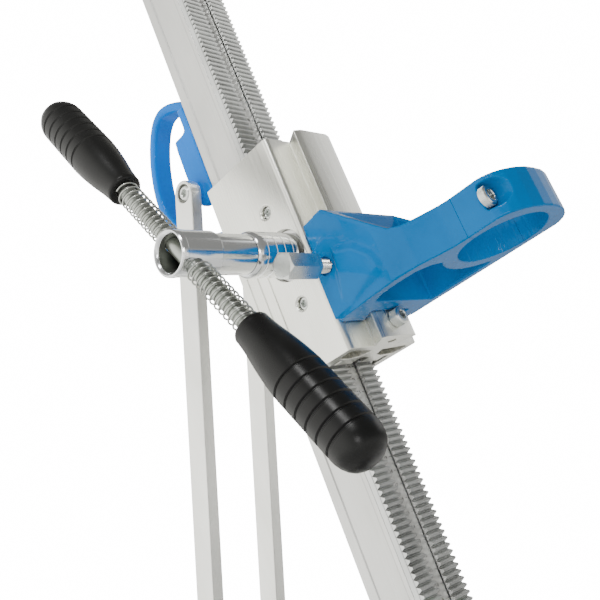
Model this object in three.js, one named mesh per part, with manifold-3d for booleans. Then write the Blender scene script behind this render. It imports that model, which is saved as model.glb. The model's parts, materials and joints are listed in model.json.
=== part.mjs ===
// Core drill rig: a slotted base with wheels, a hollow mast with two toothed racks, a carriage driven by a hand
// crank, two rear struts on a bracket with a carry handle, and a blue collar that clamps the drill motor.
// Millimetres. +Z runs up the mast, -Y is the front (motor side), the crank is on -X.
// The origin is on the base plate's underside, below the middle of the tooth tips.
import * as THREE from "three";
import { mergeVertices } from "three/addons/utils/BufferGeometryUtils.js";
import Module from "manifold-3d";

const wasm = await Module();
wasm.setup();

// ---- driving dimensions ----
const GAP = 0.3; // clearance between pieces that touch
const DEG = Math.PI / 180;

const BASE = { half: 95, front: -95, rear: 325, thick: 12, corner: 14 };
const ANCHOR_SLOT = { half: 9, from: 105, to: 225 };
const LEVELLING = { x: 80, front: -76, rear: 262, radius: 5, tip: 0.6, head: 34 };

const MAST = { bottom: 60, top: 920, front: 8.3, head: 24, waist: 23, rear: 46.5 };
const CORE = { half: 17, front: 14, rear: 34.5 }; // the mast's hollow
const TSLOT = { mouth: 5, half: 9, from: 38.8, lip: 42.8 };
const RACK = { inner: 5.8, outer: 24, back: 8, bottom: 66, above: 105, below: 74 };
const MODULE = 1.5;
const PITCH = Math.PI * MODULE;
const PRESSURE = 20 * DEG;
const BACKLASH = 0.22;
const PINION = { teeth: 15, half: 22 };
const PITCH_RADIUS = (PINION.teeth * MODULE) / 2;

const PIVOT = { y: 22, z: 45, radius: 8 }; // mast tilt axis
const BRACE = { y: 65, z: 515.4, half: 24.5 }; // strut top axis, on the sliding bracket
const FOOT = { z: 36, pin: 4.5, hole: 11, eye: 16.5 }; // strut bottom axis
const LEAN = 24.3 * DEG; // struts from the vertical
const STRUT = { inner: 29, outer: 40, half: 10.5, seat: 33 };
const STRUT_LENGTH = (BRACE.z - FOOT.z) / Math.cos(LEAN);
const FOOT_Y = BRACE.y + (BRACE.z - FOOT.z) * Math.tan(LEAN);

const CARRIAGE = { z: 330, height: 171, half: 38.2, front: -33, rear: 41, inner: 29 };
const RIB = { neck: 12, head: 20.1, shoulder: -46.5, front: -48.6, face: 14 };
const AXIS = { y: MODULE - PITCH_RADIUS, z: CARRIAGE.z + 84.9 }; // pinion and crank axis
const SHAFT = 9;
const BEARING = { radius: 18.7, outer: 33 };
const HUB = { end: -143.4, neck: -109, root: -78.3, head: 15.6, radius: 14.2, bore: 12, floor: -92 };
const HUB_COLLAR = { from: -78, to: -33.6, radius: 16.3 };
const GIB_SCREWS = { y: -7.2, offset: 37.6, radius: 4.8, socket: 2.5, depth: 2.6 };

const BAR = { x: -131, lean: 26 * DEG, radius: 6, half: 178 };
const GRIP = { neck: 76, tip: 188, radius: 17, throat: 12.2 };
const SPRING = { inner: 7.2, outer: 8.8, from: 16 };

const MOTOR = { y: -148, bore: 30, ring: 41 }; // centre and radius of the motor's collar seat
const COLLAR = { z: CARRIAGE.z + 19.3, ring: 28, height: 73.5, rear: -34.4, web: -64, split: -146 };
const CAP = { front: -186.4, screwX: 34.2, screwZ: 2, seat: -164.2, head: 6.8, tall: 5.4, shank: 2.8 };
const CLAMP = { y: -46, z: CARRIAGE.z + 56, radius: 5, head: -88, neck: -58, flats: 17 };
const STOP = { z: CARRIAGE.z + 12.5, radius: 6.5 };

const WHEEL = { y: 335, z: 43, radius: 40, rim: 28, inner: 98, outer: 126, axle: 6 };

// ---- solids: shapes are drawn across an axis, in the order (y, z) for x, (z, x) for y and (x, y) for z ----
const BASIS = {
  x: new THREE.Matrix4().makeBasis(
    new THREE.Vector3(0, 1, 0),
    new THREE.Vector3(0, 0, 1),
    new THREE.Vector3(1, 0, 0),
  ),
  y: new THREE.Matrix4().makeBasis(
    new THREE.Vector3(0, 0, 1),
    new THREE.Vector3(1, 0, 0),
    new THREE.Vector3(0, 1, 0),
  ),
  z: new THREE.Matrix4(),
};

function solid(geometry) {
  const bare = geometry.clone();
  bare.deleteAttribute("normal");
  bare.deleteAttribute("uv");
  const merged = mergeVertices(bare, 1e-4);
  return new wasm.Manifold(
    new wasm.Mesh({
      numProp: 3,
      vertProperties: merged.attributes.position.array,
      triVerts: new Uint32Array(merged.index.array),
    }),
  );
}

function prism(axis, points, from, to) {
  const shape = new THREE.Shape(points.map(([u, v]) => new THREE.Vector2(u, v)));
  const geometry = new THREE.ExtrudeGeometry(shape, { depth: to - from, bevelEnabled: false });
  geometry.translate(0, 0, from);
  geometry.applyMatrix4(BASIS[axis]);
  return solid(geometry);
}

function arc(u, v, radius, start, end, steps) {
  const points = [];
  for (let i = 0; i <= steps; i++) {
    const angle = (start + ((end - start) * i) / steps) * DEG;
    points.push([u + radius * Math.cos(angle), v + radius * Math.sin(angle)]);
  }
  return points;
}

function circle(u, v, radius, sides = 28) {
  return arc(u, v, radius, 0, 360, sides).slice(0, -1);
}

function hexagon(u, v, flats) {
  return circle(u, v, flats / Math.sqrt(3), 6);
}

function rod(axis, u, v, radius, from, to, sides) {
  return prism(axis, circle(u, v, radius, sides), from, to);
}

function box(x0, x1, y0, y1, z0, z1) {
  const outline = [[x0, y0], [x1, y0], [x1, y1], [x0, y1]];
  return prism("z", outline, z0, z1);
}

// A turned solid: profile is [radius, distance along the axis] from the low end to the high end.
function turned(axis, u, v, profile, sides = 28) {
  const points = profile.map(([r, t]) => new THREE.Vector2(r, t));
  const geometry = new THREE.LatheGeometry(points, sides);
  geometry.rotateX(Math.PI / 2);
  geometry.translate(u, v, 0);
  geometry.applyMatrix4(BASIS[axis]);
  return solid(geometry);
}

function union(solids) {
  return solids.reduce((sum, next) => sum.add(next));
}

function mirrored(points) {
  return points.map(([u, v]) => [-u, v]).reverse();
}

// ---- looks: colour, roughness, metalness ----
const LOOKS = {
  satin: [0xb9bab6, 0.45, 0.9],
  castAlloy: [0x9fa19f, 0.6, 0.8],
  steel: [0x9a9c9c, 0.4, 1.0],
  zinc: [0xa9aaa6, 0.35, 1.0],
  chrome: [0xc9ccd0, 0.1, 1.0],
  black: [0x131415, 0.35, 0.0],
  rubber: [0x1b1b1c, 0.9, 0.0],
  blue: [0x0a72b8, 0.2, 0.0],
  handleBlue: [0x1590de, 0.25, 0.0],
  brass: [0xb08d4a, 0.4, 1.0],
  nylon: [0x25282b, 0.6, 0.0],
  paper: [0xd7d8d4, 0.5, 0.3],
  vial: [0xb4d840, 0.1, 0.0],
};

const rig = new THREE.Group();

function part(name, shape, look, parent = rig) {
  const { vertProperties, triVerts } = shape.getMesh();
  const geometry = new THREE.BufferGeometry();
  geometry.setAttribute("position", new THREE.BufferAttribute(new Float32Array(vertProperties), 3));
  geometry.setIndex(new THREE.BufferAttribute(new Uint32Array(triVerts), 1));
  geometry.computeVertexNormals();
  const [color, roughness, metalness] = LOOKS[look];
  const mesh = new THREE.Mesh(
    geometry,
    new THREE.MeshStandardMaterial({ color, roughness, metalness, flatShading: true }),
  );
  mesh.name = name;
  parent.add(mesh);
  return mesh;
}

const SIDES = [["left", -1], ["right", 1]];

function acrossX(side, a, b) {
  return side > 0 ? [a, b] : [-b, -a];
}

// ---- base ----
function basePlate() {
  const { half, front, rear, thick, corner } = BASE;
  const outline = [
    ...arc(half - corner, rear - corner, corner, 0, 90, 5),
    ...arc(corner - half, rear - corner, corner, 90, 180, 5),
    ...arc(corner - half, front + corner, corner, 180, 270, 5),
    ...arc(half - corner, front + corner, corner, 270, 360, 5),
  ];
  let plate = prism("z", outline, 0, thick);
  const slotEnds = [
    ...arc(0, ANCHOR_SLOT.to, ANCHOR_SLOT.half, 0, 180, 10),
    ...arc(0, ANCHOR_SLOT.from, ANCHOR_SLOT.half, 180, 360, 10),
  ];
  plate = plate.subtract(prism("z", slotEnds, -1, thick + 1));
  for (const [x, y] of levellingPlaces()) {
    plate = plate.subtract(rod("z", x, y, LEVELLING.radius + GAP, -1, thick + 1, 16));
  }
  return plate;
}

function levellingPlaces() {
  const { x, front, rear } = LEVELLING;
  return [[-x, front], [x, front], [-x, rear], [x, rear]];
}

function levellingScrew(x, y) {
  const { radius, tip, head } = LEVELLING;
  const shank = turned("z", x, y, [[0, tip], [2, tip], [radius, tip + 4], [radius, head], [0, head]], 16);
  return shank.add(prism("z", hexagon(x, y, 16), head - 1, head + 6.5));
}

const FLANGE_TOP = BASE.thick + GAP + 9;

function footBracket() {
  const floor = BASE.thick + GAP;
  const lug = [
    [PIVOT.y + 30, floor],
    ...arc(PIVOT.y, PIVOT.z, 19, 0, 180, 12),
    [PIVOT.y - 30, floor],
  ];
  const lugs = SIDES.map(([, side]) => prism("x", lug, ...acrossX(side, 24.4, 36.4)));
  const flange = box(-62, 62, PIVOT.y - 42, PIVOT.y + 42, floor, FLANGE_TOP);
  let bracket = union([flange, ...lugs]);
  bracket = bracket.subtract(rod("x", PIVOT.y, PIVOT.z, PIVOT.radius + GAP, -40, 40, 20));
  return bracket;
}

function pivotBolt() {
  const shank = rod("x", PIVOT.y, PIVOT.z, PIVOT.radius, -37, 51, 24);
  return shank.add(prism("x", hexagon(PIVOT.y, PIVOT.z, 24), -46.8, -36.8));
}

function pivotNut() {
  const nut = prism("x", hexagon(PIVOT.y, PIVOT.z, 24), 36.8, 49);
  return nut.subtract(rod("x", PIVOT.y, PIVOT.z, PIVOT.radius + GAP, 30, 60, 24));
}

function strutAnchor() {
  const floor = BASE.thick + GAP;
  const outline = [
    [FOOT_Y + 22, floor],
    ...arc(FOOT_Y, FOOT.z, 12, 0, 180, 10),
    [FOOT_Y - 22, floor],
  ];
  const block = prism("x", outline, GAP - STRUT.inner, STRUT.inner - GAP);
  return block.subtract(rod("x", FOOT_Y, FOOT.z, FOOT.pin + GAP, -30, 30, 16));
}

function strutAnchorBolt() {
  const shank = rod("x", FOOT_Y, FOOT.z, FOOT.pin, -41, 50, 16);
  const washerFace = rod("x", FOOT_Y, FOOT.z, 17.2, -43, -40.4, 28);
  return union([shank, washerFace, prism("x", hexagon(FOOT_Y, FOOT.z, 16), -49.5, -42.8)]);
}

function strutAnchorNut() {
  const washerFace = rod("x", FOOT_Y, FOOT.z, 17.2, 40.4, 43, 28);
  const nut = washerFace.add(prism("x", hexagon(FOOT_Y, FOOT.z, 16), 42.8, 49));
  return nut.subtract(rod("x", FOOT_Y, FOOT.z, FOOT.pin + GAP, 30, 60, 16));
}

function axleBlock(side) {
  const [from, to] = acrossX(side, 66, 86);
  const outline = [
    [WHEEL.y + 11, WHEEL.z - 14],
    ...arc(WHEEL.y, WHEEL.z, 11, 0, 90, 5),
    [WHEEL.y - 28, WHEEL.z - 14],
    [WHEEL.y - 40, BASE.thick + GAP],
    [WHEEL.y - 12, BASE.thick + GAP],
  ];
  return prism("x", outline, from, to).subtract(
    rod("x", WHEEL.y, WHEEL.z, WHEEL.axle + GAP, from - 1, to + 1, 20),
  );
}

function axle() {
  const { y, z, inner, outer } = WHEEL;
  const end = outer + 6;
  const profile = [
    [0, -end], [9, -end], [9, -outer - 1], [6, -outer - 1], [6, outer + 1], [9, outer + 1], [9, end], [0, end],
  ];
  const shoulders = SIDES.map(([, side]) => rod("x", y, z, 10, ...acrossX(side, 89, inner - 1), 16));
  return union([turned("x", y, z, profile, 16), ...shoulders]);
}

function wheelRim(side) {
  const { y, z, rim, inner, outer, axle: pin } = WHEEL;
  const bore = pin + GAP;
  const mid = (inner + outer) / 2;
  const profile = [
    [bore, inner], [12, inner], [12, mid - 3], [rim - 4, mid - 4], [rim - 4, inner + 2], [rim, inner + 2],
    [rim, outer - 2], [rim - 4, outer - 2], [rim - 4, mid + 4], [12, mid + 3], [12, outer], [bore, outer],
    [bore, inner],
  ];
  return turned("x", y, z, side > 0 ? profile : mirroredAxis(profile), 20);
}

function tyre(side) {
  const { y, z, rim, radius, inner, outer } = WHEEL;
  const bore = rim + GAP;
  const profile = [
    [bore, inner + 1], [radius - 4, inner + 1], [radius, inner + 6], [radius, outer - 6],
    [radius - 4, outer - 1], [bore, outer - 1], [bore, inner + 1],
  ];
  return turned("x", y, z, side > 0 ? profile : mirroredAxis(profile), 28);
}

function mirroredAxis(profile) {
  return profile.map(([r, t]) => [r, -t]).reverse();
}

const LEVEL = { x: -62, y: 92, radius: 14, height: 12 };

function levelHousing() {
  const { x, y, radius, height } = LEVEL;
  const floor = BASE.thick + GAP;
  const cup = rod("z", x, y, radius, floor, floor + height, 28);
  return cup.subtract(rod("z", x, y, radius - 3, floor + 3, floor + height + 1, 28));
}

function levelVial() {
  const { x, y, radius, height } = LEVEL;
  const floor = BASE.thick + GAP + 3 + GAP;
  const r = radius - 3 - GAP;
  const top = floor + height - 5;
  return turned("z", x, y, [[0, floor], [r, floor], [r, top], [r * 0.6, top + 1.2], [0, top + 1.6]], 24);
}

// ---- mast ----
function mastSection() {
  const { front, head, waist, rear } = MAST;
  const { mouth, half, from, lip } = TSLOT;
  const right = [
    [5.5, 5.3], [5.5, front], [head, front], [head, 12], [waist, 13.2], [waist, 36.8], [head, 38],
    [head, rear], [mouth, rear], [mouth, lip], [half, lip], [half, from],
  ];
  return [...right, ...mirrored(right)];
}

function mastProfile() {
  const profile = prism("z", mastSection(), MAST.bottom, MAST.top);
  return profile.subtract(box(-CORE.half, CORE.half, CORE.front, CORE.rear, MAST.bottom - 1, MAST.top + 1));
}

// One rack: teeth face the front, and a gap of the tooth row lies level with the pinion's axis.
function rack(side) {
  const addendum = MODULE;
  const root = 2.25 * MODULE;
  const pitchHalf = PITCH / 4 - BACKLASH / 2;
  const tipHalf = pitchHalf - addendum * Math.tan(PRESSURE);
  const rootHalf = pitchHalf + (root - addendum) * Math.tan(PRESSURE);
  const outline = [];
  for (let k = -RACK.below; k < RACK.above; k++) {
    const centre = AXIS.z + (k + 0.5) * PITCH;
    outline.push([root, centre - rootHalf], [0, centre - tipHalf]);
    outline.push([0, centre + tipHalf], [root, centre + rootHalf]);
  }
  const low = outline[0][1] - 1;
  const high = outline[outline.length - 1][1] + 1;
  const points = [[root, low], ...outline, [root, high], [RACK.back, high], [RACK.back, low]];
  return prism("x", points.reverse(), ...acrossX(side, RACK.inner, RACK.outer));
}

function scaleStrip() {
  return box(-5.2, 5.2, 4.2, 5, MAST.bottom + 6, MAST.top - 6);
}

function corePlug(low, high) {
  return box(-CORE.half + GAP, CORE.half - GAP, CORE.front + GAP, CORE.rear - GAP, low, high);
}

function mastShoe() {
  const top = MAST.bottom - GAP;
  const outline = [[PIVOT.y + 20, top], [PIVOT.y - 20, top], ...arc(PIVOT.y, PIVOT.z, 20, 180, 360, 14)];
  const block = prism("x", outline, -24, 24);
  const spigot = corePlug(top - 1, MAST.bottom + 38);
  return block.add(spigot).subtract(rod("x", PIVOT.y, PIVOT.z, PIVOT.radius + GAP, -30, 30, 24));
}

function mastCap() {
  const top = MAST.top + GAP;
  const lid = box(-26, 26, -1.5, MAST.rear + 1.5, top, top + 8);
  return lid.add(corePlug(MAST.top - 16, top + 1));
}

// ---- brace bracket with its carry handle ----
const HANDLE = { half: 10, y: 46.9, plate: 54.5 };

function handleLoop() {
  const z = CARRIAGE.z;
  const outer = [
    [HANDLE.y, z + 270], [52, z + 276], [66, z + 284], [82, z + 291], [95, z + 292], [108, z + 285],
    [121, z + 265], [130, z + 242], [133.5, z + 217], [128, z + 192], [115, z + 171], [96, z + 155],
    [74, z + 144], [HANDLE.y, z + 139],
  ];
  const inner = [
    [HANDLE.y + 6, z + 153], [72, z + 156], [92, z + 165], [109, z + 181], [120, z + 200], [124.5, z + 219],
    [120.5, z + 238], [111, z + 262], [101, z + 277], [93, z + 282.5], [83, z + 281.5], [68, z + 274],
    [HANDLE.y + 6, z + 263],
  ];
  const loop = prism("x", [...outer].reverse(), -HANDLE.half, HANDLE.half);
  return loop.subtract(prism("x", [...inner].reverse(), -HANDLE.half - 1, HANDLE.half + 1));
}

function braceBracket() {
  const { y, z, half } = BRACE;
  const low = z - 12.4;
  const plate = box(-half, half, HANDLE.y, HANDLE.plate, low, z + 76);
  const ear = [
    [52, low], [BRACE.y, low], [y + 6, z + 20], [y + 5, z + 55], [y - 9, z + 55], [52, z + 60],
  ];
  const ears = SIDES.map(([, side]) => prism("x", ear, ...acrossX(side, 17, half)));
  const bosses = SIDES.map(([, side]) => {
    return rod("x", y, z, 9.5, ...acrossX(side, half - 1, STRUT.inner - GAP), 24);
  });
  let bracket = union([handleLoop(), plate, ...ears, ...bosses]);
  bracket = bracket.subtract(rod("x", y, z, 4.2, -30, 30, 16));
  bracket = bracket.subtract(rod("y", BRACE_CLAMP.z, 0, 4.2, 40, 58, 16));
  return bracket.subtract(rod("y", BRACE_CLAMP.z, 0, 7, 51, 64, 20));
}

const BRACE_CLAMP = { z: BRACE.z + 30 };

function braceClampScrew() {
  const z = BRACE_CLAMP.z;
  const shank = rod("y", z, 0, 3.9, 39.4, 52, 16);
  const head = rod("y", z, 0, 6.5, 51.3, 58.8, 24);
  return shank.add(head).subtract(prism("y", hexagon(z, 0, 6), 55, 60));
}

function braceTNut() {
  const z = BRACE_CLAMP.z;
  const nut = box(-8.6, 8.6, 39.2, 42.4, z - 12, z + 12);
  return nut.subtract(rod("y", z, 0, 4.2, 30, 48, 16));
}

// ---- struts, drawn upright about the foot axis and then leaned forward to the bracket ----
function strut(side) {
  const { half } = STRUT;
  const [from, to] = acrossX(side, STRUT.inner, STRUT.outer);
  const outline = [
    ...arc(0, 0, FOOT.eye, 132, 408, 16),
    [half, FOOT.eye + 14],
    ...arc(0, STRUT_LENGTH, half, 0, 180, 12),
    [-half, FOOT.eye + 14],
  ];
  let bar = prism("x", outline, from, to);
  bar = bar.subtract(rod("x", 0, 0, FOOT.hole, from - 1, to + 1, 24));
  bar = bar.subtract(rod("x", 0, STRUT_LENGTH, 4.3, from - 1, to + 1, 16));
  return bar.subtract(rod("x", 0, STRUT_LENGTH, 7.6, ...acrossX(side, STRUT.seat, STRUT.outer + 1), 24));
}

function strutScrew(side) {
  const head = rod("x", BRACE.y, BRACE.z, 6.2, ...acrossX(side, STRUT.seat + 0.2, STRUT.outer - 1), 24);
  const shank = rod("x", BRACE.y, BRACE.z, 3.9, ...acrossX(side, 16, STRUT.seat + 1), 16);
  const socket = prism("x", hexagon(BRACE.y, BRACE.z, 6), ...acrossX(side, STRUT.outer - 4, STRUT.outer + 4));
  return head.add(shank).subtract(socket);
}

// ---- carriage ----
function carriageSection() {
  const { half, front, rear, inner } = CARRIAGE;
  const right = [
    [RIB.face, RIB.front], [RIB.head, RIB.shoulder], [RIB.neck, front], [half - 4, front],
    ...arc(half - 4, front + 4, 4, 300, 360, 3), [half, rear], [inner, rear], [inner, -10.5], [24.2, -10.5],
    [24.2, -2.6], [5.8, -2.6], [5.8, -12.5],
  ];
  return [...mirrored(right), ...right];
}

function carriageChamber() {
  return [[5.2, -25], [28, -28], [32.6, -26.7], [32.6, -19], [30, -14.5], [18, -12.5], [8.4, -16]];
}

function carriageBody() {
  const { z, height, half } = CARRIAGE;
  const top = z + height;
  let body = prism("z", carriageSection(), z, top);
  const chamber = carriageChamber();
  body = body.subtract(prism("z", chamber, z - 1, top + 1));
  body = body.subtract(prism("z", mirrored(chamber), z - 1, top + 1));
  body = body.subtract(prism("z", [[-5, -39.4], [0, -42.8], [5, -39.4], [0, -36]], z - 1, top + 1));
  body = body.subtract(rod("x", AXIS.y, AXIS.z, 14, -32, 32, 32));
  for (const [, side] of SIDES) {
    const bore = rod("x", AXIS.y, AXIS.z, BEARING.radius + GAP, ...acrossX(side, CARRIAGE.inner, half + 1), 40);
    body = body.subtract(bore);
  }
  for (const [, side] of SIDES) {
    for (const level of [-1, 1]) {
      const hole = rod("x", GIB_SCREWS.y, AXIS.z + level * GIB_SCREWS.offset, GIB_SCREWS.radius + GAP,
        ...acrossX(side, 28, half + 1), 20);
      body = body.subtract(hole);
    }
  }
  body = body.subtract(rod("x", LOCK.y, LOCK.z, 4.2, 28, half + 1, 20));
  for (const y of [13.4, 23.4, 33.7]) {
    body = body.subtract(box(-half - 1, 0.9 - half, y - 0.6, y + 0.6, z + 10, AXIS.z + 4));
  }
  return body.subtract(rod("y", STOP.z, 0, 4.2, -50, -34.5, 16));
}

function gib(side) {
  const outline = [
    [24.5, -10.2], [28.7, -10.2], [28.7, 40.7], [24.4, 40.7], [24.4, 37.9], [23.4, 36.4], [23.4, 13.6],
    [24.4, 12.1],
  ];
  const z = CARRIAGE.z;
  const strip = prism("z", side > 0 ? outline : mirrored(outline), z + 4, z + CARRIAGE.height - 4);
  return strip.subtract(rod("x", AXIS.y, AXIS.z, 14, -32, 32, 32));
}

function gibScrew(side, level) {
  const z = AXIS.z + level * GIB_SCREWS.offset;
  const [from, to] = [CARRIAGE.inner + 0.1, CARRIAGE.half - GIB_SCREWS.depth];
  const screw = rod("x", GIB_SCREWS.y, z, GIB_SCREWS.radius, ...acrossX(side, from, to), 20);
  const socket = hexagon(GIB_SCREWS.y, z, 2 * GIB_SCREWS.socket);
  return screw.subtract(prism("x", socket, ...acrossX(side, to - 3, to + 1)));
}

function bearing(side) {
  const ends = acrossX(side, CARRIAGE.inner + 0.2, BEARING.outer);
  const ring = rod("x", AXIS.y, AXIS.z, BEARING.radius, ...ends, 40);
  return ring.subtract(rod("x", AXIS.y, AXIS.z, SHAFT + GAP, -40, 40, 28));
}

function stopScrew() {
  const head = rod("y", STOP.z, 0, STOP.radius, -56.6, -48.9, 28);
  const shank = rod("y", STOP.z, 0, 3.9, -50, -35, 16);
  return head.add(shank).subtract(prism("y", hexagon(STOP.z, 0, 6), -57.6, -52.6));
}

const LOCK = { y: 12, z: CARRIAGE.z + 36 };

function lockScrew() {
  return rod("x", LOCK.y, LOCK.z, 3.9, CARRIAGE.inner + 0.1, 58, 16);
}

function lockKnob() {
  const lobes = [];
  for (let i = 0; i < 36; i++) {
    const angle = i * 10 * DEG;
    const radius = 16.5 + 1.8 * Math.cos(6 * angle);
    lobes.push([LOCK.y + radius * Math.cos(angle), LOCK.z + radius * Math.sin(angle)]);
  }
  const knob = prism("x", lobes, 46, 60).add(rod("x", LOCK.y, LOCK.z, 9, 40, 47, 24));
  return knob.subtract(rod("x", LOCK.y, LOCK.z, 4.2, 30, 58.3, 16));
}

// ---- crank ----
function pinionTeeth() {
  const base = PITCH_RADIUS * Math.cos(PRESSURE);
  const outer = PITCH_RADIUS + MODULE - 0.15;
  const root = PITCH_RADIUS - 1.22 * MODULE;
  const involute = (angle) => Math.tan(angle) - angle;
  const pitchHalf = (PITCH / 4 - BACKLASH / 2) / PITCH_RADIUS;
  const halfAngle = (r) => pitchHalf + involute(PRESSURE) - involute(Math.acos(Math.min(1, base / r)));
  const radii = [root, base, PITCH_RADIUS, outer];
  const points = [];
  for (let i = 0; i < PINION.teeth; i++) {
    const centre = (i * 2 * Math.PI) / PINION.teeth;
    const flank = radii.map((r) => [r, r < base ? halfAngle(base) * 0.8 : halfAngle(r)]);
    for (const [r, a] of flank) points.push([r * Math.cos(centre - a), r * Math.sin(centre - a)]);
    for (const [r, a] of flank.reverse()) points.push([r * Math.cos(centre + a), r * Math.sin(centre + a)]);
  }
  return points.map(([u, v]) => [AXIS.y + u, AXIS.z + v]);
}

function pinionShaft() {
  const shaft = [[0, HUB.floor + 3], [SHAFT, HUB.floor + 3], [SHAFT, 41], [SHAFT - 1, 42], [0, 42]];
  const turnedShaft = turned("x", AXIS.y, AXIS.z, shaft, 28);
  const groove = rod("x", AXIS.y, AXIS.z, SHAFT + 1, 38.6, 40.4, 28).subtract(
    rod("x", AXIS.y, AXIS.z, SHAFT - 1.2, 38, 41, 28),
  );
  return turnedShaft.subtract(groove).add(prism("x", pinionTeeth(), -PINION.half, PINION.half));
}

function retainingRing() {
  const ring = rod("x", AXIS.y, AXIS.z, SHAFT + 4, 38.9, 40.1, 28);
  const bore = rod("x", AXIS.y, AXIS.z, SHAFT - 0.9, 38, 41, 28);
  const mouth = box(38, 41, AXIS.y - 3.5, AXIS.y + 3.5, AXIS.z, AXIS.z + 20);
  return ring.subtract(bore).subtract(mouth);
}

function crankHub() {
  const { end, neck, root, head, radius, bore, floor } = HUB;
  const tight = SHAFT + GAP;
  const profile = [
    [bore, end], [head - 1, end], [head, end + 2.4], [head, neck - 1], [radius, neck], [radius, root],
    [tight, root], [tight, floor], [bore, floor], [bore, end],
  ];
  const tube = turned("x", AXIS.y, AXIS.z, profile, 32);
  const cross = new THREE.CylinderGeometry(BAR.radius + GAP, BAR.radius + GAP, 40, 24);
  cross.rotateX(Math.PI / 2 - BAR.lean);
  cross.translate(BAR.x, AXIS.y, AXIS.z);
  return tube.subtract(solid(cross));
}

function hubCollar() {
  const { from, to, radius } = HUB_COLLAR;
  const tight = SHAFT + GAP;
  const profile = [
    [tight, from], [radius - 1.8, from], [radius, from + 3], [radius, to - 1], [radius - 1, to], [tight, to],
    [tight, from],
  ];
  return turned("x", AXIS.y, AXIS.z, profile, 32);
}

// The cross bar and its grips are drawn along Z and then leaned back with the bar.
function crossBar() {
  const { radius, half } = BAR;
  const profile = [
    [0, -half], [radius - 1, -half], [radius, 1 - half], [radius, half - 1], [radius - 1, half], [0, half],
  ];
  return turned("z", 0, 0, profile, 24);
}

function grip(end) {
  const { neck, tip, radius, throat } = GRIP;
  const bore = BAR.radius + GAP;
  const profile = [[bore, neck], [throat - 0.8, neck], [throat, neck + 2]];
  profile.push([radius - 1.5, neck + 26], [radius, neck + 44]);
  profile.push([radius - 1, tip - 11], [radius - 4, tip - 4.5], [radius - 9, tip - 1], [0, tip]);
  profile.push([0, BAR.half + 1], [bore, BAR.half + 1], [bore, neck]);
  return turned("z", 0, 0, end > 0 ? profile : mirroredAxis(profile), 20);
}

function springSleeve(end) {
  const from = SPRING.from;
  const to = GRIP.neck - GAP;
  const sleeve = rod("z", 0, 0, SPRING.outer, end > 0 ? from : -to, end > 0 ? to : -from, 20);
  return sleeve.subtract(rod("z", 0, 0, SPRING.inner, -100, 100, 20));
}

// ---- motor collar ----
function collarPlan() {
  const { rear, split } = COLLAR;
  const slotWide = 20.8;
  return [
    [13, rear], [slotWide, -47], [slotWide, -49.3], [-slotWide, -49.3], [-slotWide, -47], [-13, rear],
    [-38, rear], [-43.4, -38.5], [-47.5, -72], [-49, -92], [-47, -112], [-41.5, -127], [-38.6, -136], [-38.2, split],
    [38, split], [38, -40], [35, rear],
  ];
}

function collarSide() {
  const { z, ring, height, rear, split } = COLLAR;
  return [
    [rear + 1, z], [rear + 1, z + height - 3], [-39, z + height - 1], [-59, z + height], [-103, z + ring + 4],
    [-112, z + ring + 1], [split - 1, z + ring], [split - 1, z],
  ];
}

function collarWindow() {
  const ringRear = arc(0, MOTOR.y, MOTOR.ring, 45, 128, 8);
  const left = [[-33, -112], [-38.5, -104], [-40, -90], [-38.5, -74], [-34, COLLAR.web]];
  return [[30, COLLAR.web], [30, -116], ...ringRear, ...left];
}

function motorCollar() {
  const { z, height } = COLLAR;
  const top = z + height + 1;
  let collar = prism("z", [...collarPlan()].reverse(), z, top);
  collar = collar.intersect(prism("x", [...collarSide()], -60, 60));
  collar = collar.subtract(prism("z", [...collarWindow()].reverse(), z - 1, top));
  collar = collar.subtract(rod("z", 0, MOTOR.y, MOTOR.bore, z - 1, top, 48));
  collar = collar.subtract(rod("x", CLAMP.y, CLAMP.z, CLAMP.radius + GAP, -60, -15, 24));
  collar = collar.subtract(rod("x", CLAMP.y, CLAMP.z, 8, -60, -41, 28));
  for (const [, side] of SIDES) {
    collar = collar.subtract(rod("y", CAP_Z, side * CAP.screwX, CAP.shank + GAP, -150, -126, 16));
  }
  return collar;
}

const CAP_Z = COLLAR.z + COLLAR.ring / 2 + CAP.screwZ;

function collarCap() {
  const { z, ring, split } = COLLAR;
  const rear = split - GAP;
  const right = [
    [38, rear], [38, -167], [36.6, -171], [33.4, -175.6], [28, -179.8], [20, -183.6], [10.5, -185.8],
  ];
  const outline = [...right, [0, CAP.front], ...mirrored(right)];
  let cap = prism("z", [...outline].reverse(), z, z + ring);
  cap = cap.subtract(rod("z", 0, MOTOR.y, MOTOR.bore, z - 1, z + ring + 1, 48));
  for (const [, side] of SIDES) {
    const x = side * CAP.screwX;
    cap = cap.subtract(rod("y", CAP_Z, x, CAP.shank + GAP, -180, rear + 1, 16));
    cap = cap.subtract(rod("y", CAP_Z, x + side * 1.6, 8.7, -200, CAP.seat, 28));
  }
  return cap;
}

function capScrew(side) {
  const x = side * CAP.screwX;
  const head = rod("y", CAP_Z, x, CAP.head, CAP.seat - CAP.tall, CAP.seat - 0.2, 28);
  const shank = rod("y", CAP_Z, x, CAP.shank, CAP.seat - 1, -127, 16);
  return head.add(shank).subtract(prism("y", hexagon(CAP_Z, x, 7), CAP.seat - 9, CAP.seat - 2.6));
}

function clampBolt() {
  const { y, z, radius, head, neck, flats } = CLAMP;
  const hex = prism("x", hexagon(y, z, flats), head, neck);
  const blank = [[0, head], [7.6, head], [10.2, head + 1.6], [10.2, neck - 1.6], [7.6, neck], [0, neck]];
  const chamfer = turned("x", y, z, blank, 36);
  return hex.intersect(chamfer).add(rod("x", y, z, radius, neck - 1, -24.4, 24));
}

function pressurePad() {
  return rod("x", CLAMP.y, CLAMP.z, CLAMP.radius, -24, -20.9, 24);
}

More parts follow.
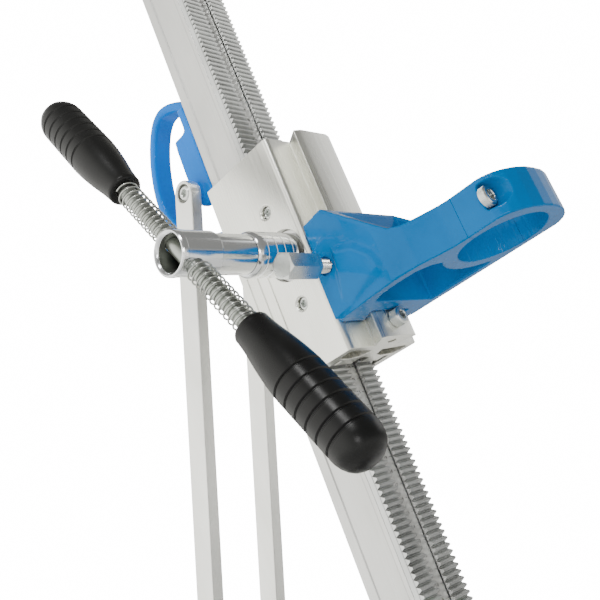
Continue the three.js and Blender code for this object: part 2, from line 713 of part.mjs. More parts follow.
// ---- assembly ----
part("base_plate", basePlate(), "castAlloy");
part("foot_bracket", footBracket(), "castAlloy");
part("tilt_pivot_bolt", pivotBolt(), "zinc");
part("tilt_pivot_nut", pivotNut(), "zinc");
part("strut_anchor", strutAnchor(), "castAlloy");
part("strut_anchor_bolt", strutAnchorBolt(), "zinc");
part("strut_anchor_nut", strutAnchorNut(), "zinc");
part("axle", axle(), "zinc");
part("level_housing", levelHousing(), "black");
part("level_vial", levelVial(), "vial");
for (const [index, [x, y]] of levellingPlaces().entries()) {
  part(`levelling_screw_${index + 1}`, levellingScrew(x, y), "zinc");
}

part("mast_profile", mastProfile(), "satin");
part("scale_strip", scaleStrip(), "paper");
part("mast_shoe", mastShoe(), "castAlloy");
part("mast_top_cap", mastCap(), "black");

part("brace_bracket", braceBracket(), "handleBlue");
part("brace_clamp_screw", braceClampScrew(), "zinc");
part("brace_t_nut", braceTNut(), "zinc");

part("carriage_body", carriageBody(), "satin");
part("stop_screw", stopScrew(), "zinc");
part("lock_screw", lockScrew(), "zinc");
part("lock_knob", lockKnob(), "black");

part("pinion_shaft", pinionShaft(), "steel");
part("retaining_ring", retainingRing(), "steel");
part("crank_hub", crankHub(), "chrome");
part("hub_collar", hubCollar(), "chrome");

part("motor_collar", motorCollar(), "blue");
part("collar_cap", collarCap(), "blue");
part("clamp_bolt", clampBolt(), "zinc");
part("pressure_pad", pressurePad(), "brass");

const struts = new THREE.Group();
struts.position.set(0, FOOT_Y, FOOT.z);
struts.rotation.x = LEAN;
rig.add(struts);

for (const [word, side] of SIDES) {
  part(`axle_block_${word}`, axleBlock(side), "castAlloy");
  part(`wheel_rim_${word}`, wheelRim(side), "nylon");
  part(`tyre_${word}`, tyre(side), "rubber");
  part(`rack_${word}`, rack(side), "steel");
  part(`strut_${word}`, strut(side), "satin", struts);
  part(`strut_screw_${word}`, strutScrew(side), "zinc");
  part(`gib_${word}`, gib(side), "nylon");
  part(`gib_screw_${word}_lower`, gibScrew(side, -1), "zinc");
  part(`gib_screw_${word}_upper`, gibScrew(side, 1), "zinc");
  part(`bearing_${word}`, bearing(side), "steel");
  part(`cap_screw_${word}`, capScrew(side), "zinc");
}

const handle = new THREE.Group();
handle.position.set(BAR.x, AXIS.y, AXIS.z);
handle.rotation.x = -BAR.lean;
rig.add(handle);

part("cross_bar", crossBar(), "steel", handle);
for (const [word, end] of [["upper", 1], ["lower", -1]]) {
  part(`grip_${word}`, grip(end), "black", handle);
  part(`spring_${word}`, springSleeve(end), "steel", handle);
}

export default rig;
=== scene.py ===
"""Core drill rig: finished pieces, finishes, studio and camera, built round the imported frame."""

import json
from math import cos, floor, pi, radians, sin, tan

import bmesh
import bpy
from mathutils import Matrix, Vector


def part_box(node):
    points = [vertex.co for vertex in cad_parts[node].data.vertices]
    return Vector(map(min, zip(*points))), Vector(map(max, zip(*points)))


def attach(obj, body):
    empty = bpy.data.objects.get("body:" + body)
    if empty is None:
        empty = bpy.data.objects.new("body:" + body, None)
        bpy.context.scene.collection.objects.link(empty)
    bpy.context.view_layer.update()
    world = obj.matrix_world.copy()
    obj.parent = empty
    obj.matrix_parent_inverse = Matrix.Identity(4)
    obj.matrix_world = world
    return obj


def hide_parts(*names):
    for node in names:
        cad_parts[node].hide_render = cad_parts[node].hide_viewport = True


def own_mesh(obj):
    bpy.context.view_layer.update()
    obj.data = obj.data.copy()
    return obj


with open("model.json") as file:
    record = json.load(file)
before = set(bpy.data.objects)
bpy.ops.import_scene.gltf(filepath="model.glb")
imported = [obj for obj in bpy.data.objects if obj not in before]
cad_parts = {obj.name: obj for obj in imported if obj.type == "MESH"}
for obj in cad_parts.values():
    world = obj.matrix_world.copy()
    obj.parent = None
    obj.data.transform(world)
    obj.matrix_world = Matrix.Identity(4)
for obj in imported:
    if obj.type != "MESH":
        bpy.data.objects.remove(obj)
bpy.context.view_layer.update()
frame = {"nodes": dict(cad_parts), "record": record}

MM = 0.001
RECORD = frame["record"]
BODY_OF = {node: body for body, nodes in RECORD["behaviour"]["bodies"].items() for node in nodes}
JOINTS = {joint["name"]: joint for joint in RECORD["behaviour"]["joints"]}


def middle(node):
    """The middle of a CAD node's box, in millimetres."""
    low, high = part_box(node)
    return (low + high) / 2 / MM


def ends(node, axis):
    """A CAD node's two ends along an axis, in millimetres."""
    low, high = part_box(node)
    place = "xyz".index(axis)
    return low[place] / MM, high[place] / MM


# ---- places, in millimetres, read from the frame ----
CARRIAGE_Z = ends("carriage_body", "z")[0]
CRANK = middle("hub_collar")
BAR_DIRECTION = Vector(JOINTS["bar_slide"]["axis"]).normalized()
BAR = Vector((middle("cross_bar").x, CRANK.y, CRANK.z))
CLAMP = middle("clamp_bolt")
STOP = middle("stop_screw")
COLLAR_Z = ends("motor_collar", "z")[0]
SPLIT = ends("motor_collar", "y")[0]
SEAT = Vector((0, -148, COLLAR_Z + 14))
BRACE = middle("strut_screw_left")
RACK_PITCH = pi * 1.5
GRIP_NECK = 76.0
LEAN = radians(24.3)


# ---- shapes ----
# Outlines are drawn across an axis: (y, z) for x, (z, x) for y and (x, y) for z.
ACROSS = {
    "x": Matrix(((0, 0, 1), (1, 0, 0), (0, 1, 0))),
    "y": Matrix(((0, 1, 0), (0, 0, 1), (1, 0, 0))),
    "z": Matrix.Identity(3),
}


def arc(u, v, radius, start, end, steps):
    """Points on an arc, angles in degrees."""
    span = radians(end - start)
    angles = [radians(start) + span * i / steps for i in range(steps + 1)]
    return [(u + radius * cos(a), v + radius * sin(a)) for a in angles]


def rounded(points, radius, steps=5):
    """The outline with each corner turned into an arc-like curve that starts radius away from the corner."""
    result = []
    for i, corner in enumerate(points):
        corner = Vector(corner)
        before = Vector(points[i - 1])
        after = Vector(points[(i + 1) % len(points)])
        reach_in = min(radius, (before - corner).length * 0.45)
        reach_out = min(radius, (after - corner).length * 0.45)
        start = corner + (before - corner).normalized() * reach_in
        end = corner + (after - corner).normalized() * reach_out
        for k in range(steps + 1):
            t = k / steps
            result.append(tuple(start * (1 - t) ** 2 + corner * 2 * t * (1 - t) + end * t * t))
    return result


def prism(axis, outline, start, end):
    """A closed extrusion of an outline along an axis, in millimetres."""
    bm = bmesh.new()
    turn = ACROSS[axis]
    rings = [[bm.verts.new(turn @ Vector((u, v, t))) for u, v in outline] for t in (start, end)]
    count = len(outline)
    bm.faces.new(rings[0])
    bm.faces.new(rings[1])
    for i in range(count):
        j = (i + 1) % count
        bm.faces.new((rings[0][i], rings[0][j], rings[1][j], rings[1][i]))
    bmesh.ops.recalc_face_normals(bm, faces=bm.faces)
    return bm


def hex_reach(angle):
    """How much further a hexagon's edge is than its flats' distance, at an angle."""
    return 1 / cos((angle + pi / 6) % (pi / 3) - pi / 6)


def turned(axis, u, v, profile, sides=64):
    """A turned body from rows of (radius, place along the axis).

    A third value makes the row a hexagon, and a fourth is the slope that carries its corners along the axis.
    A profile that ends where it began is a ring.
    """
    bm = bmesh.new()
    turn = ACROSS[axis]
    loop = profile[0] == profile[-1]
    rows = profile[:-1] if loop else profile
    rings = []
    for radius, place, *extra in rows:
        if radius == 0:
            rings.append([bm.verts.new(turn @ Vector((u, v, place)))])
            continue
        ring = []
        for i in range(sides):
            angle = 2 * pi * i / sides
            reach = radius * (hex_reach(angle) if extra else 1)
            drop = (reach - radius) * (extra[1] if len(extra) > 1 else 0)
            spot = (u + reach * cos(angle), v + reach * sin(angle), place + drop)
            ring.append(bm.verts.new(turn @ Vector(spot)))
        rings.append(ring)
    pairs = list(zip(rings, rings[1:]))
    if loop:
        pairs.append((rings[-1], rings[0]))
    for low, high in pairs:
        for i in range(sides):
            j = (i + 1) % sides
            corners = [low[i % len(low)], low[j % len(low)], high[j % len(high)], high[i % len(high)]]
            corners = list(dict.fromkeys(corners))
            if len(corners) > 2:
                bm.faces.new(corners)
    bmesh.ops.recalc_face_normals(bm, faces=bm.faces)
    return bm


def hex_head(axis, u, v, flat, start, end, bore=0.0, sides=72):
    """A hexagon with both faces chamfered. flat is half its width across flats; with a bore it is a nut."""
    slope = tan(radians(30))
    profile = [
        (bore, start), (flat - 0.9, start), (flat - 0.02, start + 0.45), (flat, start + 0.5, 6, slope),
        (flat, end - 0.5, 6, -slope), (flat - 0.02, end - 0.45), (flat - 0.9, end), (bore, end),
    ]
    if bore:
        profile.append(profile[0])
    return turned(axis, u, v, profile, sides)


def threaded(axis, u, v, radius, pitch, start, end, sides=32, steps=6):
    """A rod with a V thread cut round it, closed by flat ends."""
    bm = bmesh.new()
    turn = ACROSS[axis]
    depth = pitch * 0.55
    count = int((end - start) / pitch * steps)
    rings = []
    for k in range(count + 1):
        place = start + (end - start) * k / count
        ease = min(1, (place - start) / pitch, (end - place) / pitch)
        ring = []
        for i in range(sides):
            angle = 2 * pi * i / sides
            phase = place / pitch - i / sides
            cut = 1 - abs(2 * (phase - floor(phase)) - 1)
            reach = radius - depth * (cut * ease + 0.55 * (1 - ease))
            ring.append(bm.verts.new(turn @ Vector((u + reach * cos(angle), v + reach * sin(angle), place))))
        rings.append(ring)
    for low, high in zip(rings, rings[1:]):
        for i in range(sides):
            j = (i + 1) % sides
            bm.faces.new((low[i], low[j], high[j], high[i]))
    bm.faces.new(rings[0])
    bm.faces.new(rings[-1])
    bmesh.ops.recalc_face_normals(bm, faces=bm.faces)
    return bm


def joined(*parts):
    """Several closed bodies in one mesh."""
    bm = bmesh.new()
    for part in parts:
        mesh = bpy.data.meshes.new("part")
        part.to_mesh(mesh)
        part.free()
        bm.from_mesh(mesh)
        bpy.data.meshes.remove(mesh)
    return bm


def placed(bm, matrix):
    """Moves a mesh by a matrix."""
    bmesh.ops.transform(bm, matrix=matrix, verts=bm.verts)
    return bm


def cad_copy(node):
    """A CAD node's own shape in millimetres, its loose triangles joined into flat faces."""
    bm = bmesh.new()
    bm.from_mesh(frame["nodes"][node].data)
    bmesh.ops.remove_doubles(bm, verts=bm.verts, dist=2e-6)
    bmesh.ops.dissolve_limit(bm, angle_limit=radians(0.5), verts=bm.verts, edges=bm.edges)
    bmesh.ops.scale(bm, vec=(1 / MM,) * 3, verts=bm.verts)
    return bm


def new_object(name, bm):
    """A millimetre mesh becomes an object in metres."""
    bmesh.ops.scale(bm, vec=(MM,) * 3, verts=bm.verts)
    mesh = bpy.data.meshes.new(name)
    bm.to_mesh(mesh)
    bm.free()
    obj = bpy.data.objects.new(name, mesh)
    bpy.context.scene.collection.objects.link(obj)
    return obj


def frozen(obj):
    """Turns an object's modifiers into its mesh."""
    graph = bpy.context.evaluated_depsgraph_get()
    mesh = bpy.data.meshes.new_from_object(obj.evaluated_get(graph))
    obj.modifiers.clear()
    obj.data = mesh
    return obj


def cut(obj, bm, operation="DIFFERENCE"):
    """Cuts a millimetre tool out of an object, or joins it on."""
    tool = new_object("tool", bm)
    modifier = obj.modifiers.new("cut", "BOOLEAN")
    modifier.operation = operation
    modifier.solver = "EXACT"
    modifier.object = tool
    frozen(obj)
    bpy.data.objects.remove(tool)
    return obj


def cast(obj, grain=0.9, rounds=8):
    """Rounds every edge and inner corner of an object as a casting has them. grain is in millimetres."""
    remesh = obj.modifiers.new("skin", "REMESH")
    remesh.mode = "VOXEL"
    remesh.voxel_size = grain * MM
    soften = obj.modifiers.new("soften", "SMOOTH")
    soften.factor = 0.5
    soften.iterations = rounds
    return frozen(obj)


def settle(obj, finish, *nodes, sharp=32):
    """Gives a piece its finish, soft shading and body, and lets it stand for its CAD nodes."""
    obj.data.materials.clear()
    obj.data.materials.append(finish)
    for face in obj.data.polygons:
        face.use_smooth = True
        face.material_index = 0
    obj.data.set_sharp_from_angle(angle=radians(sharp))
    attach(obj, BODY_OF[nodes[0]])
    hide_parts(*nodes)
    return obj


def piece(bm, finish, *nodes, sharp=32):
    """A millimetre mesh becomes a finished piece that stands for its CAD nodes."""
    return settle(new_object("finished_" + nodes[0], bm), finish, *nodes, sharp=sharp)


def dressed(node, finish, edge=0.3, steps=2, angle=28, cuts=()):
    """A CAD node's own shape, with any cuts made, and its edges broken."""
    obj = new_object("finished_" + node, cad_copy(node))
    for tool in cuts:
        cut(obj, tool)
    bevel = obj.modifiers.new("edges", "BEVEL")
    bevel.width = edge * MM
    bevel.segments = steps
    bevel.limit_method = "ANGLE"
    bevel.angle_limit = radians(angle)
    bevel.use_clamp_overlap = False
    frozen(obj)
    settle(obj, finish, node, sharp=40)
    weighted = obj.modifiers.new("normals", "WEIGHTED_NORMAL")
    weighted.keep_sharp = True
    return obj


# ---- finishes ----
def new_finish(name, colour, roughness, metallic=0.0):
    """A new material with its plain values set, and what is needed to go on from there."""
    finish = bpy.data.materials.new(name)
    finish.use_nodes = True
    shader = finish.node_tree.nodes["Principled BSDF"]
    shader.inputs["Base Color"].default_value = (*colour, 1)
    shader.inputs["Roughness"].default_value = roughness
    shader.inputs["Metallic"].default_value = metallic
    return finish, finish.node_tree.nodes, finish.node_tree.links, shader


def pattern(nodes, links, scale, stretch=(1, 1, 1), detail=4, turn=(0, 0, 0)):
    """A noise over the object's own coordinates, stretched and turned, giving its factor."""
    place = nodes.new("ShaderNodeTexCoord")
    mapping = nodes.new("ShaderNodeMapping")
    mapping.inputs["Scale"].default_value = stretch
    mapping.inputs["Rotation"].default_value = turn
    noise = nodes.new("ShaderNodeTexNoise")
    noise.inputs["Scale"].default_value = scale
    noise.inputs["Detail"].default_value = detail
    links.new(place.outputs["Object"], mapping.inputs["Vector"])
    links.new(mapping.outputs["Vector"], noise.inputs["Vector"])
    return noise.outputs["Fac"]


def spread(nodes, links, factor, low, high):
    """A factor laid over a range of values."""
    span = nodes.new("ShaderNodeMapRange")
    span.inputs["From Min"].default_value = 0.3
    span.inputs["From Max"].default_value = 0.7
    span.inputs["To Min"].default_value = low
    span.inputs["To Max"].default_value = high
    links.new(factor, span.inputs["Value"])
    return span.outputs["Result"]


def tint(nodes, links, factor, low, high):
    """A factor laid over two colours."""
    ramp = nodes.new("ShaderNodeValToRGB")
    ramp.color_ramp.elements[0].position = 0.35
    ramp.color_ramp.elements[0].color = (*low, 1)
    ramp.color_ramp.elements[1].position = 0.65
    ramp.color_ramp.elements[1].color = (*high, 1)
    links.new(factor, ramp.inputs["Fac"])
    return ramp.outputs["Color"]


def relief(nodes, links, shader, height, depth, strength=1.0):
    """Raises the surface by a height pattern. depth is in millimetres."""
    bump = nodes.new("ShaderNodeBump")
    bump.inputs["Distance"].default_value = depth * MM
    bump.inputs["Strength"].default_value = strength
    links.new(height, bump.inputs["Height"])
    links.new(bump.outputs["Normal"], shader.inputs["Normal"])


def shade_of(colour, share):
    """A lighter or darker version of a colour."""
    return tuple(min(1, c * share) for c in colour)


def tinted(nodes, links, shader, factor, colour, low, high):
    """Lays a pattern over darker and lighter shades of a colour."""
    shades = tint(nodes, links, factor, shade_of(colour, low), shade_of(colour, high))
    links.new(shades, shader.inputs["Base Color"])


def drawn_metal(name, colour, roughness, turn=(0, 0, 0), stretch=(1, 1, 0.012), depth=0.02):
    """Extruded or drawn metal: fine lines run along Z, over soft clouds of lighter and darker metal."""
    finish, nodes, links, shader = new_finish(name, colour, roughness, 1.0)
    lines = pattern(nodes, links, 1600, stretch, 3, turn)
    clouds = pattern(nodes, links, 22, (1, 1, 0.5), 5, turn)
    tinted(nodes, links, shader, clouds, colour, 0.92, 1.05)
    links.new(spread(nodes, links, lines, roughness - 0.07, roughness + 0.09), shader.inputs["Roughness"])
    relief(nodes, links, shader, lines, depth, 0.5)
    return finish


def grained_metal(name, colour, roughness, scale=900, depth=0.03, metallic=1.0):
    """Cast, blasted or plated metal: an even fine grain, with faint larger clouds."""
    finish, nodes, links, shader = new_finish(name, colour, roughness, metallic)
    grain = pattern(nodes, links, scale)
    clouds = pattern(nodes, links, 45, detail=6)
    tinted(nodes, links, shader, clouds, colour, 0.86, 1.07)
    links.new(spread(nodes, links, clouds, roughness - 0.06, roughness + 0.08), shader.inputs["Roughness"])
    relief(nodes, links, shader, grain, depth, 0.6)
    return finish


def polished(name, colour, roughness):
    """Chrome: a mirror with faint turning marks and a little haze."""
    finish, nodes, links, shader = new_finish(name, colour, roughness, 1.0)
    haze = pattern(nodes, links, 60, detail=5)
    marks = pattern(nodes, links, 2600, (1, 0.04, 0.04), 2)
    links.new(spread(nodes, links, haze, roughness, roughness + 0.07), shader.inputs["Roughness"])
    relief(nodes, links, shader, marks, 0.004, 0.3)
    return finish


def powder_coat(name, colour, roughness=0.2):
    """Gloss paint over a casting: orange peel, slow waves of the casting beneath, a thin clear top."""
    finish, nodes, links, shader = new_finish(name, colour, roughness)
    peel = pattern(nodes, links, 260, detail=2)
    waves = pattern(nodes, links, 34, detail=3)
    clouds = pattern(nodes, links, 14, detail=4)
    tinted(nodes, links, shader, clouds, colour, 0.9, 1.12)
    links.new(spread(nodes, links, peel, roughness, roughness + 0.08), shader.inputs["Roughness"])
    shader.inputs["Specular IOR Level"].default_value = 0.04
    shader.inputs["Coat Weight"].default_value = 0.16
    shader.inputs["Coat Roughness"].default_value = 0.05
    surface = nodes.new("ShaderNodeMath")
    surface.operation = "MULTIPLY_ADD"
    surface.inputs[1].default_value = 0.25
    links.new(peel, surface.inputs[0])
    links.new(waves, surface.inputs[2])
    relief(nodes, links, shader, surface.outputs["Value"], 0.35, 0.55)
    return finish


def moulded(name, colour, roughness, scale=1400, depth=0.03):
    """Moulded plastic or rubber: a fine skin texture, with slightly worn, paler patches."""
    finish, nodes, links, shader = new_finish(name, colour, roughness)
    shader.inputs["Specular IOR Level"].default_value = 0.25
    skin = pattern(nodes, links, scale, detail=3)
    wear = pattern(nodes, links, 30, detail=7)
    tinted(nodes, links, shader, wear, colour, 0.85, 1.5)
    links.new(spread(nodes, links, wear, roughness - 0.04, roughness + 0.1), shader.inputs["Roughness"])
    relief(nodes, links, shader, skin, depth, 0.5)
    return finish


SATIN = drawn_metal("satin_extrusion", (0.86, 0.86, 0.8), 0.31)
MAST_METAL = drawn_metal("mast_extrusion", (0.62, 0.62, 0.6), 0.33)
STRUT_METAL = drawn_metal("strut_extrusion", (0.88, 0.88, 0.84), 0.38, (LEAN, 0, 0))
RACK_STEEL = grained_metal("rack_steel", (0.6, 0.61, 0.6), 0.34, 1500, 0.02)
CAST = grained_metal("cast_alloy", (0.52, 0.53, 0.53), 0.55, 500, 0.12)
ZINC = grained_metal("zinc_plate", (0.66, 0.68, 0.66), 0.26, 1100, 0.02)
BRIGHT = grained_metal("bright_steel", (0.66, 0.66, 0.66), 0.24, 1600, 0.01)
BAR_STEEL = grained_metal("bar_steel", (0.4, 0.42, 0.39), 0.28, 1600, 0.01)
SPRING_STEEL = grained_metal("spring_steel", (0.5, 0.51, 0.48), 0.24, 1600, 0.01)
CHROME = polished("hub_chrome", (0.8, 0.81, 0.82), 0.12)
BORE_STEEL = grained_metal("bore_steel", (0.2, 0.21, 0.19), 0.42, 1200, 0.03)
BLUE = powder_coat("collar_blue", (0.0, 0.135, 0.39))
# The collar's blue paint again, made lighter as painted light for the light that falls on the handle.
LIT_HANDLE_BLUE = powder_coat("handle_blue", (0.0, 0.18, 0.68))
GRIP_BLACK = moulded("grip_black", (0.006, 0.006, 0.006), 0.3, 900, 0.02)
NYLON = moulded("nylon", (0.03, 0.032, 0.035), 0.5)
RUBBER = moulded("rubber", (0.022, 0.022, 0.023), 0.75, 700, 0.08)
BRASS = grained_metal("brass", (0.75, 0.58, 0.25), 0.3, 1200, 0.02)
SCALE_PLATE = grained_metal("scale_plate", (0.78, 0.78, 0.76), 0.42, 1800, 0.01)
INK = moulded("scale_ink", (0.02, 0.02, 0.02), 0.5)


def vial_finish():
    """Clear acrylic over green fluid."""
    finish, nodes, links, shader = new_finish("vial", (0.55, 0.85, 0.08), 0.04)
    clouds = pattern(nodes, links, 60)
    links.new(tint(nodes, links, clouds, (0.45, 0.75, 0.05), (0.65, 0.95, 0.15)), shader.inputs["Base Color"])
    shader.inputs["Coat Weight"].default_value = 1.0
    return finish


VIAL = vial_finish()


# ---- node trees for what repeats ----
def new_tree(name, sockets):
    """A geometry tree with named inputs. sockets is a list of (name, type)."""
    tree = bpy.data.node_groups.new(name, "GeometryNodeTree")
    for label, kind in sockets:
        tree.interface.new_socket(label, in_out="INPUT", socket_type=kind)
    tree.interface.new_socket("Geometry", in_out="OUTPUT", socket_type="NodeSocketGeometry")
    return tree, tree.nodes.new("NodeGroupInput"), tree.nodes.new("NodeGroupOutput")


def finish_tree(tree, shape, source, result):
    """Every tree ends alike: real copies, then their finish."""
    real = tree.nodes.new("GeometryNodeRealizeInstances")
    paint = tree.nodes.new("GeometryNodeSetMaterial")
    tree.links.new(shape, real.inputs["Geometry"])
    tree.links.new(real.outputs["Geometry"], paint.inputs["Geometry"])
    tree.links.new(source.outputs["Finish"], paint.inputs["Material"])
    tree.links.new(paint.outputs["Geometry"], result.inputs["Geometry"])


def row_tree():
    """Copies of the piece's own mesh in a straight row up Z."""
    tree, source, result = new_tree("row_of_copies", [
        ("Geometry", "NodeSocketGeometry"), ("Count", "NodeSocketInt"), ("Spacing", "NodeSocketVector"),
        ("Finish", "NodeSocketMaterial"),
    ])
    line = tree.nodes.new("GeometryNodeMeshLine")
    place = tree.nodes.new("GeometryNodeInstanceOnPoints")
    tree.links.new(source.outputs["Count"], line.inputs["Count"])
    tree.links.new(source.outputs["Spacing"], line.inputs["Offset"])
    tree.links.new(line.outputs["Mesh"], place.inputs["Points"])
    tree.links.new(source.outputs["Geometry"], place.inputs["Instance"])
    finish_tree(tree, place.outputs["Instances"], source, result)
    return tree


def ring_tree():
    """Copies of the piece's own mesh turned round the X axis."""
    tree, source, result = new_tree("ring_of_copies", [
        ("Geometry", "NodeSocketGeometry"), ("Count", "NodeSocketInt"), ("Finish", "NodeSocketMaterial"),
    ])
    line = tree.nodes.new("GeometryNodeMeshLine")
    index = tree.nodes.new("GeometryNodeInputIndex")
    step = tree.nodes.new("ShaderNodeMath")
    step.operation = "DIVIDE"
    step.inputs[0].default_value = 2 * pi
    angle = tree.nodes.new("ShaderNodeMath")
    angle.operation = "MULTIPLY"
    turn = tree.nodes.new("ShaderNodeCombineXYZ")
    place = tree.nodes.new("GeometryNodeInstanceOnPoints")
    line.inputs["Offset"].default_value = (0, 0, 0)
    tree.links.new(source.outputs["Count"], line.inputs["Count"])
    tree.links.new(source.outputs["Count"], step.inputs[1])
    tree.links.new(step.outputs["Value"], angle.inputs[0])
    tree.links.new(index.outputs["Index"], angle.inputs[1])
    tree.links.new(angle.outputs["Value"], turn.inputs["X"])
    tree.links.new(line.outputs["Mesh"], place.inputs["Points"])
    tree.links.new(source.outputs["Geometry"], place.inputs["Instance"])
    tree.links.new(turn.outputs["Vector"], place.inputs["Rotation"])
    finish_tree(tree, place.outputs["Instances"], source, result)
    return tree


def coil_tree():
    """A wound spring standing on the origin, along Z."""
    tree, source, result = new_tree("wound_spring", [
        ("Turns", "NodeSocketFloat"), ("Radius", "NodeSocketFloat"), ("Wire", "NodeSocketFloat"),
        ("Height", "NodeSocketFloat"), ("Finish", "NodeSocketMaterial"),
    ])
    spiral = tree.nodes.new("GeometryNodeCurveSpiral")
    spiral.inputs["Resolution"].default_value = 36
    wire = tree.nodes.new("GeometryNodeCurvePrimitiveCircle")
    wire.inputs["Resolution"].default_value = 10
    sweep = tree.nodes.new("GeometryNodeCurveToMesh")
    sweep.inputs["Fill Caps"].default_value = True
    tree.links.new(source.outputs["Turns"], spiral.inputs["Rotations"])
    tree.links.new(source.outputs["Radius"], spiral.inputs["Start Radius"])
    tree.links.new(source.outputs["Radius"], spiral.inputs["End Radius"])
    tree.links.new(source.outputs["Height"], spiral.inputs["Height"])
    tree.links.new(source.outputs["Wire"], wire.inputs["Radius"])
    tree.links.new(spiral.outputs["Curve"], sweep.inputs["Curve"])
    tree.links.new(wire.outputs["Curve"], sweep.inputs["Profile Curve"])
    finish_tree(tree, sweep.outputs["Mesh"], source, result)
    return tree


ROW, RING, COIL = row_tree(), ring_tree(), coil_tree()


def grown(obj, tree, **values):
    """Runs a tree on an object with its named inputs set, and keeps the result as a plain mesh."""
    modifier = obj.modifiers.new("grow", "NODES")
    modifier.node_group = tree
    for socket in tree.interface.items_tree:
        if socket.in_out == "INPUT" and socket.name in values:
            modifier[socket.identifier] = values[socket.name]
    obj.update_tag()
    bpy.context.view_layer.update()
    return frozen(obj)


def as_mesh(obj):
    """An object's mesh in millimetres, ready to be joined to others."""
    bm = bmesh.new()
    bm.from_mesh(obj.data)
    bmesh.ops.scale(bm, vec=(1 / MM,) * 3, verts=bm.verts)
    bpy.data.objects.remove(obj)
    return bm


# ---- mast ----
def rack(node):
    """Cut teeth in a row on a straight bar."""
    left, right = ends(node, "x")
    foot, top = ends(node, "z")
    teeth, teeth_below_crank = 179, 73.5
    root, back = 3.37, 8
    half_root, half_tip, chamfer = 2.22, 0.69, 0.25
    first = CRANK.z - teeth_below_crank * RACK_PITCH
    outline = [
        (root + 0.4, first - half_root - 0.1), (root, first - half_root), (chamfer, first - half_tip),
        (0, first - half_tip + chamfer), (0, first + half_tip - chamfer), (chamfer, first + half_tip),
        (root, first + half_root), (root + 0.4, first + half_root + 0.1),
    ]
    tooth = new_object("tooth", prism("x", outline, left, right))
    grown(tooth, ROW, Count=teeth, Spacing=(0, 0, RACK_PITCH * MM), Finish=RACK_STEEL)
    bar = prism("x", [(root, foot), (root, top), (back, top), (back, foot)], left, right)
    piece(joined(as_mesh(tooth), bar), RACK_STEEL, node, sharp=20)


def scale_marks():
    """The centimetre scale between the racks: short and long marks and their numbers."""
    front = ends("scale_strip", "y")[0]
    foot, top = ends("scale_strip", "z")
    margin, edge = 4, 4.9
    start = foot + margin
    length = top - start - margin
    marks = []
    for spacing, reach, thick in ((1, 1.4, 0.16), (5, 2.1, 0.2), (10, 2.9, 0.28)):
        outline = [(start - thick / 2, edge - reach), (start + thick / 2, edge - reach),
                   (start + thick / 2, edge), (start - thick / 2, edge)]
        mark = new_object("mark", prism("y", outline, front - 0.06, front + 0.05))
        count = int(length / spacing) + 1
        marks.append(as_mesh(grown(mark, ROW, Count=count, Spacing=(0, 0, spacing * MM), Finish=INK)))
    for number in range(1, int(length / 10) + 1):
        text = bpy.data.curves.new("number", "FONT")
        text.body = str(number)
        text.size = 3.4
        text.align_x = "CENTER"
        text.align_y = "CENTER"
        text.resolution_u = 2
        text.extrude = 0.05
        holder = bpy.data.objects.new("number", text)
        bpy.context.scene.collection.objects.link(holder)
        graph = bpy.context.evaluated_depsgraph_get()
        mesh = bpy.data.meshes.new_from_object(holder.evaluated_get(graph))
        bm = bmesh.new()
        bm.from_mesh(mesh)
        bpy.data.objects.remove(holder)
        stand = Matrix.Translation((-1.6, front, start + number * 10)) @ Matrix.Rotation(pi / 2, 4, "X")
        marks.append(placed(bm, stand))
    ink = new_object("scale_print", joined(*marks))
    ink.data.materials.clear()
    ink.data.materials.append(INK)
    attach(ink, BODY_OF["scale_strip"])


dressed("mast_profile", MAST_METAL, 0.35)
dressed("scale_strip", SCALE_PLATE, 0.1, 1)
dressed("mast_shoe", CAST, 1.2, 3)
dressed("mast_top_cap", NYLON, 1.6, 4)
rack("rack_left")
rack("rack_right")
scale_marks()


# ---- carriage ----
def countersinks():
    """A shallow cone at the mouth of each set screw's hole."""
    tools = []
    for side, way in (("left", -1), ("right", 1)):
        for level in ("lower", "upper"):
            spot = middle(f"gib_screw_{side}_{level}")
            cone = [(0, 37.2 * way), (5.1, 37.2 * way), (6.7, 38.9 * way), (0, 38.9 * way)]
            tools.append(turned("x", spot.y, spot.z, cone, 48))
    return tools


dressed("carriage_body", SATIN, 0.45, 3, cuts=countersinks())
for side in ("left", "right"):
    dressed("gib_" + side, NYLON, 0.2, 1)
    dressed("bearing_" + side, BRIGHT, 0.3)


def set_screw(node, side):
    """A grub screw with a hexagon socket, its cup facing outwards."""
    spot = middle(node)
    step = 1 if side == "left" else -1
    outer, inner = ends(node, "x")[::step]
    profile = [
        (0, inner), (3.8, inner), (4.75, inner - step), (4.75, outer + 0.7 * step), (4.1, outer),
        (2.9, outer), (2.5, outer + 0.3 * step, 6), (2.5, outer + 3 * step, 6), (0, outer + 3.6 * step),
    ]
    piece(turned("x", spot.y, spot.z, profile, 48), ZINC, node, sharp=25)


for side in ("left", "right"):
    for level in ("lower", "upper"):
        set_screw(f"gib_screw_{side}_{level}", side)


def socket_screw(axis, u, v, head, tip, node, radius, shank, tall, key=3.0, pitch=1.25):
    """A cap screw with a knurled head and a hexagon socket.

    head and tip are its two ends along the axis, and key is half the socket's width across flats.
    """
    way = 1 if tip > head else -1
    seat = head + way * tall
    profile = [
        (0, seat), (radius, seat), (radius, head + way * 0.9), (radius - 0.9, head), (key + 0.5, head),
        (key, head + way * 0.5, 6), (key, head + way * tall * 0.62, 6), (0, head + way * tall * 0.72),
    ]
    body = turned(axis, u, v, profile, 48)
    start, end = sorted((seat - way * 0.5, tip))
    thread = threaded(axis, u, v, shank, pitch, start, end, 24)
    ribs = 42
    knurl = []
    for i in range(ribs):
        angle = 2 * pi * i / ribs
        outline = arc(u + radius * cos(angle), v + radius * sin(angle), 0.28, 0, 300, 5)
        knurl.append(prism(axis, outline, *sorted((seat - way * 0.4, head + way * 1.2))))
    piece(joined(body, thread, *knurl), ZINC, node, sharp=30)


